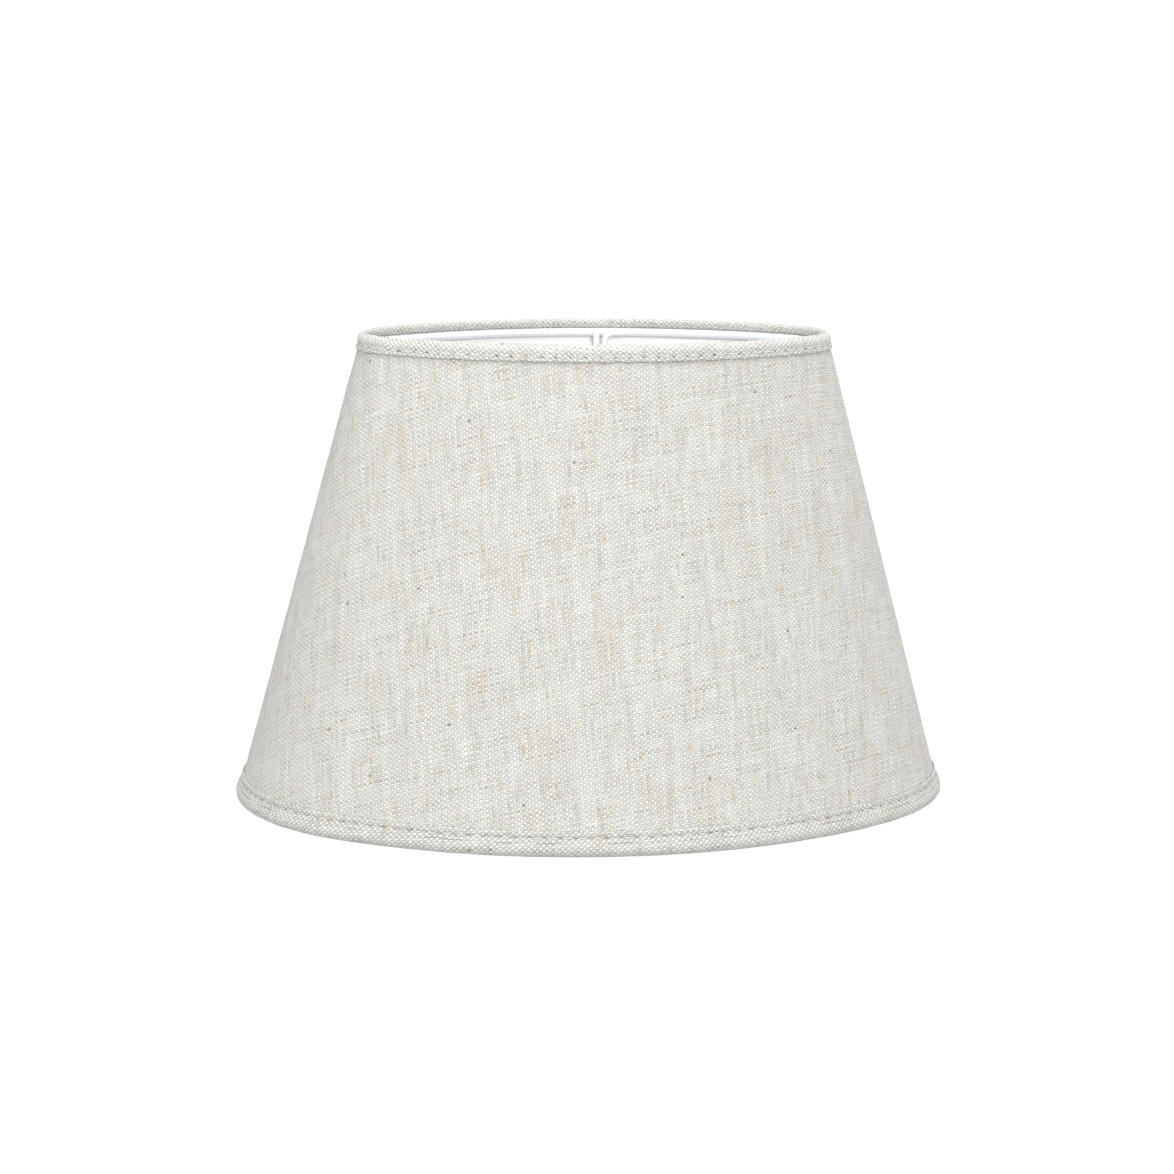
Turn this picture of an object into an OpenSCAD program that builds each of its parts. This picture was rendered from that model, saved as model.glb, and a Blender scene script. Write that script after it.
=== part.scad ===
// Oval hard-backed lamp shade for a table lamp, in millimetres.
// A laminated wall leans in evenly from an oval foot to a smaller oval top. Wire rings hold
// both edges, folded strips of the same cloth bind them, and a dropped wire carrier holds the
// fitter ring. Every oval is four arcs: two centres on X for the ends, two on Y for the sides.

/* [Shade] */
// Length of the oval over the cover, at the foot of the wall
base_length = 248; // [210:1:300]
// Depth of the oval over the cover, at the foot of the wall
base_depth = 176; // [160:1:212]
// Height over both trims
height = 162; // [120:1:200]
// How far the wall leans in from foot to top, on each side
lean_in = 43.2; // [25:0.1:48]

/* [Wall] */
// Thickness of the stiff white liner
liner_t = 0.5; // [0.3:0.1:0.8]
// Thickness of the cloth cover
cover_t = 0.7; // [0.4:0.1:1]
// Width of the lap where the two ends of the wall meet
lap_w = 12; // [8:1:20]
// Cloth left above the top edge of the wall, in the top roll
top_cap = 0.7; // [0.5:0.1:1]
// Cloth left below the foot of the wall, in the bottom roll
foot_cap = 1.8; // [1.5:0.1:2.4]
// Thickness of the tape inside the lap
tape_t = 0.2; // [0.1:0.05:0.3]
// Width of the tape inside the lap
tape_w = 9; // [5:1:16]
// Turn of the lap from the middle of the back, about the centre of the back arc
lap_turn = 14; // [8:1:24]

/* [Rings] */
// Wire of the two edge rings, with its white coat
ring_wire_d = 3; // [2.4:0.1:3.6]
// Gap between the top trim's roll and the ring below it
ring_gap = 0.1; // [0.05:0.05:2]

/* [Trims] */
// Diameter of the rolled edge at the top
top_roll_d = 3.4; // [3:0.1:5]
// Diameter of the rolled edge at the foot
bottom_roll_d = 5.8; // [4.8:0.1:7]
// How far the top roll stands out from the cover
top_bulge = 0.9; // [0.7:0.1:1.2]
// How far the bottom roll stands out from the cover
bottom_bulge = 1.3; // [1.1:0.1:1.5]
// Width of the flat band of the top trim, below its roll
top_band = 2.3; // [2:0.1:6]
// Width of the flat band of the bottom trim, above its roll
bottom_band = 2.7; // [2:0.1:8]
// Thickness of the flat bands
trim_t = 0.6; // [0.4:0.1:0.9]
// Thickness of the cloth round the bottom ring
wrap_t = 0.6; // [0.4:0.1:0.8]
// Thread of the two rows of stitching
thread_d = 0.5; // [0.3:0.1:0.7]

/* [Carrier] */
// Hole of the fitter ring
fitter_bore = 42; // [30:0.5:44]
// Width of the fitter ring's flat flange
flange_w = 6; // [5:0.5:8]
// Sheet thickness of the fitter ring
fitter_t = 1.2; // [0.8:0.1:2]
// Height of the fitter ring with its drawn collar
collar_h = 3.5; // [2:0.5:6]
// Depth of the fitter ring's flat top below the top of the shade
recess = 20; // [14:1:40]
// Wire of the arms
arm_wire_d = 2.2; // [1.8:0.1:2.8]
// Distance between the two legs of an arm, centre to centre
arm_gap = 3; // [2.9:0.1:8]
// Length of the foot that is welded along the top ring
foot_l = 6; // [3:0.5:12]
// Radius of the bends in the arms
bend_r = 3; // [2.6:0.1:5]
// Turn of the arms from the depth axis, about the centres of the side arcs
arm_turn = 4; // [0:0.5:6]

/* [Hidden] */
$fn = 96;

weld = 0.02;                        // clearance where two wires are welded
glue = 0.02;                        // clearance of a wire or trim to what it is glued to
half_l = base_length / 2;
half_d = base_depth / 2;
end_r = (3 * half_d - half_l) / 2;  // arc of the ends, at the foot of the wall
side_r = 2 * half_l - half_d;       // arc of the long sides
end_c = half_l - end_r;             // centres of the end arcs, on X
side_c = side_r - half_d;           // centres of the side arcs, on Y
reach = side_r + side_c;            // longer than any radius, for the wedges

wall_z0 = foot_cap;                 // foot of the wall, inside the bottom trim
wall_z1 = height - top_cap;         // top of the wall, inside the top trim
slope = lean_in / (wall_z1 - wall_z0);
stretch = sqrt(1 + slope * slope);  // level thickness of a leaning sheet, over its true one
cover_w = cover_t * stretch;
wall_w = (cover_t + liner_t) * stretch;
trim_w = trim_t * stretch;
band_w = trim_w + wall_w / 2;       // a band is cut back to the wall from inside it

ring_r = ring_wire_d / 2;
top_ring_z = height - top_roll_d - ring_gap - ring_r;
bottom_ring_z = bottom_roll_d / 2;
top_band_z = height - top_roll_d - top_band;
bottom_band_z = bottom_roll_d + bottom_band;
fitter_z = height - recess;
arm_r = arm_wire_d / 2;

// Level offset of the cover's outside from its place at the foot of the wall
function skin(z) = -slope * (z - wall_z0);
// Offset of a ring wire's centre, touching the liner's inner face
function ring_u(z) = skin(z) - wall_w - ring_r * stretch - glue;

// ---- sections, as level offset and height ----

module sheet_section(z0, z1, out, thick) {
    polygon([[skin(z0) + out, z0], [skin(z1) + out, z1],
             [skin(z1) + out - thick, z1], [skin(z0) + out - thick, z0]]);
}

module wall_section() {
    sheet_section(wall_z0, wall_z1, 0, wall_w);
}

module wire_section(u, z, d) {
    translate([u, z]) circle(d = d);
}

// A folded strip: a roll round the edge of the wall and a flat band on its outside
module top_trim_section() {
    roll_r = top_roll_d / 2;
    roll_z = height - roll_r;
    difference() {
        union() {
            wire_section(skin(roll_z) + top_bulge - roll_r, roll_z, top_roll_d);
            sheet_section(top_band_z, roll_z, trim_w, band_w);
        }
        wall_section();
    }
}

// The foot's strip also wraps the bottom ring, which touches the liner through it
module bottom_trim_section() {
    roll_r = bottom_roll_d / 2;
    ring_x = ring_u(bottom_ring_z);
    difference() {
        union() {
            wire_section(skin(roll_r) + bottom_bulge - roll_r, roll_r, bottom_roll_d);
            wire_section(ring_x, bottom_ring_z, ring_wire_d + 2 * wrap_t);
            sheet_section(roll_r, bottom_band_z, trim_w, band_w);
        }
        wall_section();
        wire_section(ring_x, bottom_ring_z, ring_wire_d + 2 * glue);
        translate([ring_x, bottom_ring_z - ring_r / 2]) square([ring_r + wall_w / 2, ring_r]);
    }
}

// ---- the oval ----

module wedge(centre, toward, z0, z1) {
    along = [3, 4] * reach / 5;
    spread = toward.x == 0
        ? [[along.x, toward.y * along.y], [-along.x, toward.y * along.y]]
        : [[toward.x * along.x, along.y], [toward.x * along.x, -along.y]];
    translate([0, 0, z0]) linear_extrude(z1 - z0)
        polygon([centre, centre + spread[0], centre + spread[1]]);
}

// One arc of the oval: the section, children(), swept about one of the four centres
module arc_piece(centre, toward, radius, z0, z1) {
    intersection() {
        translate(centre) rotate_extrude() translate([radius, 0]) children();
        wedge(centre, toward, z0, z1);
    }
}

// A section swept right round the oval, between two heights that clear it
module oval_sweep(z0, z1) {
    for (way = [-1, 1]) {
        arc_piece([way * end_c, 0], [way, 0], end_r, z0, z1) children();
        arc_piece([0, -way * side_c], [0, way], side_r, z0, z1) children();
    }
}

// ---- the wall ----

// A strip of the back of the wall, between the trims, about the back arc's centre
module back_strip(first_mm, last_mm, out, thick, over = 0) {
    z0 = bottom_band_z + glue - over;
    z1 = top_band_z - glue + over;
    per_mm = 180 / (PI * side_r);
    a0 = 90 + lap_turn + first_mm * per_mm;
    a1 = 90 + lap_turn + last_mm * per_mm;
    intersection() {
        translate([0, -side_c]) rotate_extrude() translate([side_r, 0])
            sheet_section(z0, z1, out, thick);
        translate([0, -side_c, 0]) linear_extrude(height)
            polygon([[0, 0], reach * [cos(a0), sin(a0)], reach * [cos(a1), sin(a1)]]);
    }
}

module seam_tape() {
    tape_out = tape_t * stretch;
    color("ivory") back_strip(0, tape_w, tape_out, tape_out);
}

// The outer end of the cloth lies over the tape, and past it steps down into the cover
module lap() {
    tape_out = tape_t * stretch;
    lap_out = tape_out + cover_w;
    difference() {
        back_strip(0, lap_w, lap_out, lap_out + cover_w / 2);
        back_strip(-1, tape_w, tape_out, tape_out + cover_w, over = 1);
    }
}

module cover() {
    color([0.88, 0.87, 0.84]) {
        oval_sweep(0, height) sheet_section(wall_z0, wall_z1, 0, cover_w);
        lap();
    }
}

module liner() {
    color("white") oval_sweep(0, height)
        sheet_section(wall_z0, wall_z1, -cover_w, wall_w - cover_w);
}

// ---- the edge rings ----

module top_ring() {
    color("white") oval_sweep(0, height) wire_section(ring_u(top_ring_z), top_ring_z, ring_wire_d);
}

module bottom_ring() {
    color("white") oval_sweep(0, height)
        wire_section(ring_u(bottom_ring_z), bottom_ring_z, ring_wire_d);
}

// ---- the trims and their stitching ----

module top_trim() {
    color([0.86, 0.85, 0.82]) oval_sweep(0, height + 1) top_trim_section();
}

module bottom_trim() {
    color([0.85, 0.84, 0.81]) oval_sweep(-1, height) bottom_trim_section();
}

// The thread lies on the flat band, in the groove beside the roll
module stitching(z) {
    thread_u = skin(z) + trim_w + thread_d / 2 * stretch + glue;
    color([0.8, 0.79, 0.75]) oval_sweep(0, height) wire_section(thread_u, z, thread_d);
}

module top_stitching() {
    stitching(height - top_roll_d - thread_d);
}

module bottom_stitching() {
    stitching(bottom_roll_d + thread_d);
}

// ---- the carrier ----

module fitter_ring() {
    bore_r = fitter_bore / 2;
    color("white") translate([0, 0, fitter_z]) rotate_extrude() {
        translate([bore_r, -fitter_t]) square([flange_w, fitter_t]);
        translate([bore_r, -collar_h]) square([fitter_t, collar_h]);
    }
}

function unit(v) = v / norm(v);

// Points of the round bend at a corner between two straight runs
function bend(before, corner, after, radius, steps = 6) =
    let (u = unit(before - corner), v = unit(after - corner),
         half = acos(u * v) / 2,
         centre = corner + unit(u + v) * radius / sin(half),
         start = corner + u * radius / tan(half) - centre,
         side = unit(cross(cross(start, u), start)),
         turn = 180 - 2 * half)
    [for (i = [0 : steps]) centre + start * cos(turn * i / steps)
        - side * radius * sin(turn * i / steps)];

function rounded_path(corners, radii) = concat(
    [corners[0]],
    [for (i = [1 : len(corners) - 2])
        each bend(corners[i - 1], corners[i], corners[i + 1], radii[i - 1])],
    [corners[len(corners) - 1]]);

// Direction of the path at a point, midway between the runs that meet there
function heading(path, i) =
    unit(unit(path[min(i + 1, len(path) - 1)] - path[min(i, len(path) - 2)])
        + unit(path[max(i, 1)] - path[max(i - 1, 0)]));

// A side direction for each point, carried along the path without twist
function carried(path, i, side) =
    let (h = heading(path, i), now = unit(side - h * (side * h)))
    i == len(path) - 1 ? [now] : concat([now], carried(path, i + 1, now));

module wire(path, radius, first_side, sides = 12) {
    frames = carried(path, 0, first_side);
    rings = [for (i = [0 : len(path) - 1]) let (h = heading(path, i), a = frames[i], b = cross(h, a))
        for (k = [0 : sides - 1]) path[i] + radius * (a * cos(360 * k / sides) + b * sin(360 * k / sides))];
    last = (len(path) - 1) * sides;
    faces = concat(
        [[for (k = [0 : sides - 1]) k]],
        [[for (k = [sides - 1 : -1 : 0]) last + k]],
        [for (i = [0 : len(path) - 2], k = [0 : sides - 1])
            let (n = (k + 1) % sides, at = i * sides)
            each [[at + k, at + sides + k, at + sides + n], [at + k, at + sides + n, at + n]]]);
    polyhedron(rings, faces);
}

// A hairpin of wire: one end is a foot along the top ring, two legs drop beside the liner and
// run in under the fitter ring's flange, and the closed end of the hairpin lies there
module back_arm() {
    out_y = side_r + ring_u(top_ring_z) - ring_r - arm_r - weld;
    in_y = side_c + (fitter_bore + flange_w) / 2;
    low_z = fitter_z - fitter_t - arm_r - weld;
    x = arm_gap / 2;
    corners = [[x + foot_l, out_y, top_ring_z], [x, out_y, top_ring_z], [x, out_y, low_z],
               [x, in_y, low_z], [-x, in_y, low_z], [-x, out_y, low_z], [-x, out_y, top_ring_z]];
    hairpin_r = x - weld;
    color("white") translate([0, -side_c, 0]) rotate(-arm_turn)
        wire(rounded_path(corners, [bend_r, bend_r, hairpin_r, hairpin_r, bend_r]), arm_r, [0, 1, 0]);
}

module front_arm() {
    rotate(180) back_arm();
}

cover();
liner();
seam_tape();
top_ring();
bottom_ring();
top_trim();
bottom_trim();
top_stitching();
bottom_stitching();
fitter_ring();
back_arm();
front_arm();
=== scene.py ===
import math
import bpy
import numpy as np
from mathutils import Matrix, Vector


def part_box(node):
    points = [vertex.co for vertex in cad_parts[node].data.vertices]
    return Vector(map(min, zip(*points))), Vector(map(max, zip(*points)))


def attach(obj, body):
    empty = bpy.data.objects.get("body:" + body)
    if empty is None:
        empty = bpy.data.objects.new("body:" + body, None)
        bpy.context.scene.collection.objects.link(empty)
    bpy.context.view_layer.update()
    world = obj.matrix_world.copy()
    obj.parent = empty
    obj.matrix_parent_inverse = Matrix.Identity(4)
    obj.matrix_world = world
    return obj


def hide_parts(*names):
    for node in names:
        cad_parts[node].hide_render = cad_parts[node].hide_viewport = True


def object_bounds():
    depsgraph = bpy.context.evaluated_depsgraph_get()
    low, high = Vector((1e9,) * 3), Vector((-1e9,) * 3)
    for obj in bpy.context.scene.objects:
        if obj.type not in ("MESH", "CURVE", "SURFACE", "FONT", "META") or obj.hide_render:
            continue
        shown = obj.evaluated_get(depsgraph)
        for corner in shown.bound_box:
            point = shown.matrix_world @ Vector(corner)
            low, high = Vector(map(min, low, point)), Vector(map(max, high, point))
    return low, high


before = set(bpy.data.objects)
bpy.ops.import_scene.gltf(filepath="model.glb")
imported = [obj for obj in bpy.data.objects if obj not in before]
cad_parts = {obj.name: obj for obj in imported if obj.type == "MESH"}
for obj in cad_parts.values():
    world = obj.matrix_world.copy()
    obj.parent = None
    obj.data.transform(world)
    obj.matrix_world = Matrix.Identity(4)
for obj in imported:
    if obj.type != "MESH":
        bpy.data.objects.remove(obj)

bpy.context.view_layer.update()
cadLow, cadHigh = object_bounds()
mm = 0.001
print("frame loaded:", len(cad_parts), "nodes")

# the shade's oval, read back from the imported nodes

coverLow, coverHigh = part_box("cover")
linerLow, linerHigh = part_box("liner")
upperThreadLow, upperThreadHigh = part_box("top_stitching")
lowerThreadLow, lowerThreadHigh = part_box("bottom_stitching")
halfLength = coverHigh.x
halfDepth = coverHigh.y
footZ = coverLow.z
edgeZ = coverHigh.z
upperThreadZ = (upperThreadLow.z + upperThreadHigh.z) / 2
lowerThreadZ = (lowerThreadLow.z + lowerThreadHigh.z) / 2
lean = (lowerThreadHigh.x - upperThreadHigh.x) / (upperThreadZ - lowerThreadZ)
stretch = math.hypot(1, lean)
coverLevel = coverHigh.x - linerHigh.x            # thickness of the cloth, measured level
wallLevel = coverLevel + 0.5 * mm * stretch       # cloth and film together

endRadius = (3 * halfDepth - halfLength) / 2      # arcs of the two ends
sideRadius = 2 * halfLength - halfDepth           # arcs of the long sides
endCentre = halfLength - endRadius
sideCentre = sideRadius - halfDepth
sideTurn = math.atan2(3, 4)                       # where a side arc meets an end arc
arcTurns = np.array([-math.pi - sideTurn, -math.pi + sideTurn, -sideTurn, sideTurn,
                     math.pi - sideTurn, math.pi + sideTurn, math.tau - sideTurn])
arcRadii = np.array([sideRadius, endRadius, sideRadius, endRadius, sideRadius, endRadius])


def skinOffset(z):
    return -lean * (z - footZ)


def ovalPoints(turn, offset):
    # turn 0 looks out along -Y and grows towards +X; offset is measured level from the foot
    side = 3 * np.abs(np.cos(turn)) > 4 * np.abs(np.sin(turn))
    radius = np.where(side, sideRadius, endRadius) + offset
    centreX = np.where(side, 0, np.sign(np.sin(turn)) * endCentre)
    centreY = np.where(side, np.sign(np.cos(turn)) * sideCentre, 0)
    return centreX + radius * np.sin(turn), centreY - radius * np.cos(turn)


def lengthToTurn(offset):
    # arc length against turn, at one offset
    steps = (arcRadii + offset) * np.diff(arcTurns)
    return arcTurns, np.concatenate([[0], np.cumsum(steps)])


def perimeterAt(offset):
    return 4 * sideTurn * sideRadius + 2 * (math.pi - 2 * sideTurn) * endRadius + math.tau * offset


def turnsAlong(start, lengths, offset):
    # the turns of points at these lengths from the turn start
    turns, total = lengthToTurn(offset)
    return np.interp(np.interp(start, turns, total) + lengths, total, turns)


# mesh helpers

def makeObject(name, mesh, material, smooth=True):
    mesh.materials.clear()
    mesh.materials.append(material)
    mesh.polygons.foreach_set("use_smooth", [smooth] * len(mesh.polygons))
    mesh.update()
    piece = bpy.data.objects.new(name, mesh)
    bpy.context.scene.collection.objects.link(piece)
    return piece


def gridFaces(columns, rows, closedColumns, closedRows, first=0):
    # quads of a grid of points kept column by column
    c = np.arange(columns if closedColumns else columns - 1)
    r = np.arange(rows if closedRows else rows - 1)
    c, r = (a.ravel() for a in np.meshgrid(c, r, indexing="ij"))
    c2 = (c + 1) % columns
    r2 = (r + 1) % rows
    return first + np.stack([c * rows + r, c2 * rows + r, c2 * rows + r2, c * rows + r2], axis=1)


def meshFromGrid(name, points, faces):
    mesh = bpy.data.meshes.new(name)
    mesh.from_pydata(points.tolist(), [], faces.tolist())
    return mesh


def addUvMap(mesh, name, places):
    # one place for each corner of each face
    layer = mesh.uv_layers.new(name=name)
    layer.uv.foreach_set("vector", places.astype(np.float32).ravel())


def easedBetween(z, low, high, over):
    # 1 between the two heights, falling to 0 at them
    return np.clip((z - low) / over, 0, 1) * np.clip((high - z) / over, 0, 1)


def smoothRandom(rng, lengths, whole, waves, strongest):
    # an even wave round the oval made of a few random ones, from -1 to 1 or so
    total = np.zeros_like(lengths)
    for count in rng.integers(strongest // 3 + 1, strongest * 2, waves):
        total += rng.uniform(0.5, 1) * np.sin(math.tau * count * lengths / whole + rng.uniform(0, 6.28))
    return total / math.sqrt(waves)


def smoothPath(corners, count):
    # a Catmull-Rom path through the corners, evenly spaced by its own length
    p = np.array(corners, float)
    p = np.vstack([2 * p[0] - p[1], p, 2 * p[-1] - p[-2]])
    t = np.linspace(0, 1, 24, endpoint=False)[:, None]
    parts = []
    for a, b, c, d in zip(p[:-3], p[1:-2], p[2:-1], p[3:]):
        parts.append(0.5 * (2 * b + (c - a) * t + (2 * a - 5 * b + 4 * c - d) * t ** 2
                            + (3 * b - a - 3 * c + d) * t ** 3))
    dense = np.vstack(parts + [p[-2:-1]])
    along = np.concatenate([[0], np.cumsum(np.linalg.norm(np.diff(dense, axis=0), axis=1))])
    at = np.linspace(0, along[-1], count)
    return np.stack([np.interp(at, along, dense[:, k]) for k in (0, 1)], axis=1), at


def tubeMesh(paths, radius, sides=16, closed=False):
    # round wire along a path, with domed ends where it is open
    path = np.array(paths, float)
    count = len(path)
    if closed:
        ahead = np.roll(path, -1, axis=0) - np.roll(path, 1, axis=0)
    else:
        ahead = np.gradient(path, axis=0)
    ahead /= np.linalg.norm(ahead, axis=1)[:, None]
    side = np.zeros_like(path)
    now = np.cross(ahead[0], [0.13, 0.21, 1.0])
    for i in range(count):
        now = now - ahead[i] * now.dot(ahead[i])
        now /= np.linalg.norm(now)
        side[i] = now
    other = np.cross(ahead, side)
    if closed:
        # spread the closing twist along the whole ring
        back = side[-1] - ahead[0] * side[-1].dot(ahead[0])
        twist = math.atan2(back.dot(other[0]), back.dot(side[0]))
        lift = -twist * np.arange(count) / count
        side, other = (side * np.cos(lift)[:, None] + other * np.sin(lift)[:, None],
                       other * np.cos(lift)[:, None] - side * np.sin(lift)[:, None])
    around = math.tau * np.arange(sides) / sides
    rim = (side[:, None] * np.cos(around)[None, :, None]
           + other[:, None] * np.sin(around)[None, :, None])
    if closed:
        points = (path[:, None] + radius * rim).reshape(-1, 3)
        return points, gridFaces(count, sides, True, True)
    rings = []
    for angle in (75, 50, 25):
        tip = path[0] - ahead[0] * radius * math.sin(math.radians(angle))
        rings.append(tip + rim[0] * radius * math.cos(math.radians(angle)))
    rings += list(path[:, None] + radius * rim)
    for angle in (25, 50, 75):
        tip = path[-1] + ahead[-1] * radius * math.sin(math.radians(angle))
        rings.append(tip + rim[-1] * radius * math.cos(math.radians(angle)))
    points = np.concatenate(rings)
    faces = gridFaces(len(rings), sides, False, True).tolist()
    last = len(points) - sides
    faces.append(list(range(sides)))
    faces.append(list(range(last + sides - 1, last - 1, -1)))
    return points, faces


def joinParts(name, parts):
    # several closed shapes kept as one mesh
    points = []
    faces = []
    for partPoints, partFaces in parts:
        start = len(points)
        points += [tuple(p) for p in partPoints]
        faces += [[start + int(i) for i in f] for f in partFaces]
    mesh = bpy.data.meshes.new(name)
    mesh.from_pydata(points, [], faces)
    return mesh


def signedVolume(mesh):
    mesh.calc_loop_triangles()
    total = 0.0
    for triangle in mesh.loop_triangles:
        a, b, c = (mesh.vertices[i].co for i in triangle.vertices)
        total += a.dot(b.cross(c)) / 6
    return total


def faceOutwards(mesh):
    if signedVolume(mesh) < 0:
        mesh.flip_normals()
    return mesh


# material helpers

def fromScreen(red, green, blue):
    # a colour as a screen shows it, made linear
    out = []
    for value in (red, green, blue):
        v = value / 255
        out.append(v / 12.92 if v <= 0.04045 else ((v + 0.055) / 1.055) ** 2.4)
    return (*out, 1.0)


class NodeBench:
    # short calls for building a material's nodes
    def __init__(self, name):
        self.material = bpy.data.materials.new(name)
        self.material.use_nodes = True
        self.tree = self.material.node_tree
        self.tree.nodes.clear()
        self.shader = self.tree.nodes.new("ShaderNodeBsdfPrincipled")
        output = self.tree.nodes.new("ShaderNodeOutputMaterial")
        self.tree.links.new(self.shader.outputs["BSDF"], output.inputs["Surface"])

    def feed(self, socket, value):
        if hasattr(value, "is_output"):
            self.tree.links.new(value, socket)
        elif value is not None:
            socket.default_value = value

    def node(self, kind, inputs=None, **settings):
        made = self.tree.nodes.new(kind)
        for key, value in settings.items():
            setattr(made, key, value)
        for key, value in (inputs or {}).items():
            self.feed(made.inputs[key], value)
        return made

    def calc(self, operation, a, b=None, c=None):
        made = self.tree.nodes.new("ShaderNodeMath")
        made.operation = operation
        for socket, value in zip(made.inputs, (a, b, c)):
            self.feed(socket, value)
        return made.outputs[0]

    def product(self, a, b):
        return self.calc("MULTIPLY", a, b)

    def vectorCalc(self, operation, a, b):
        key = "Scale" if operation == "SCALE" else 1
        return self.node("ShaderNodeVectorMath", {0: a, key: b}, operation=operation).outputs[0]

    def uvMap(self, name):
        return self.node("ShaderNodeUVMap", uv_map=name).outputs["UV"]

    def objectPlace(self):
        return self.node("ShaderNodeTexCoord").outputs["Object"]

    def vector(self, x, y, z=0.0):
        return self.node("ShaderNodeCombineXYZ", {"X": x, "Y": y, "Z": z}).outputs[0]

    def noise(self, vector, scale=1.0, detail=2.0, roughness=0.5, colour=False, flat=True):
        made = self.node("ShaderNodeTexNoise", {"Vector": vector, "Scale": scale, "Detail": detail,
                                                "Roughness": roughness},
                         noise_dimensions="2D" if flat else "3D")
        return made.outputs["Color" if colour else "Fac"]

    def chance(self, vector):
        made = self.node("ShaderNodeTexWhiteNoise", {"Vector": vector}, noise_dimensions="2D")
        return made.outputs["Value"]

    def spread(self, value, fromLow, fromHigh, toLow=0.0, toHigh=1.0):
        made = self.node("ShaderNodeMapRange", {"Value": value, "From Min": fromLow, "From Max": fromHigh,
                                                "To Min": toLow, "To Max": toHigh})
        made.clamp = True
        return made.outputs["Result"]

    def mix(self, amount, first, second, blend="MIX"):
        made = self.node("ShaderNodeMix", data_type="RGBA", blend_type=blend)
        self.feed(made.inputs[0], amount)
        self.feed(made.inputs[6], first)
        self.feed(made.inputs[7], second)
        return made.outputs[2]

    def ramp(self, value, stops):
        made = self.node("ShaderNodeValToRGB", {"Fac": value})
        line = made.color_ramp
        line.elements[0].position, line.elements[0].color = stops[0]
        line.elements[1].position, line.elements[1].color = stops[-1]
        for position, colour in stops[1:-1]:
            line.elements.new(position).color = colour
        return made.outputs["Color"]

    def bump(self, height, distance, strength=1.0):
        made = self.node("ShaderNodeBump", {"Height": height, "Distance": distance, "Strength": strength})
        self.feed(self.shader.inputs["Normal"], made.outputs["Normal"])


linen = {
    "warpPitch": 1.0 * mm,
    "weftPitch": 0.81 * mm,
    "warpSkew": -0.085,            # the warp stands off square to the cut by this much
    "weftSkew": 0.054,
    "wander": 0.42,                # how far the threads stray, in pitches
    "crownRise": 0.105,            # painted highlight on the crowns along one diagonal, and the other
    "crownFall": 0.075,
    "pale": fromScreen(246, 246, 241),
    "plain": fromScreen(232, 231, 225),
    "grey": fromScreen(204, 203, 196),
    "beige": fromScreen(222, 208, 190),
    "rust": fromScreen(213, 182, 158),
    "speck": fromScreen(128, 118, 108),
    "shadow": fromScreen(52, 49, 48),       # in needle holes and creases
    "warpHalf": (0.40, 0.62),      # half width of a yarn where thin and where thick, in pitches
    "weftHalf": (0.36, 0.58),
    "everyOther": 0.036,           # every second weft row is this much paler
    "streakDark": 0.058,
    "streakPale": 0.038,
    "crossPale": 0.09,
    "patches": 0.26,
    "speckShare": 0.0004,          # share of the crossings with a bit of dark flax
    "lowest": -0.9,                # height between the yarns, on the scale where a crown is 0.5
    # painted shade: the colour between the yarns is darkened to this share
    "gap": 0.78,
    # painted shade in some of the lowest cells between the yarns
    "pitShadeStrength": 0.55,
    "bump": 0.00016,
}


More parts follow.
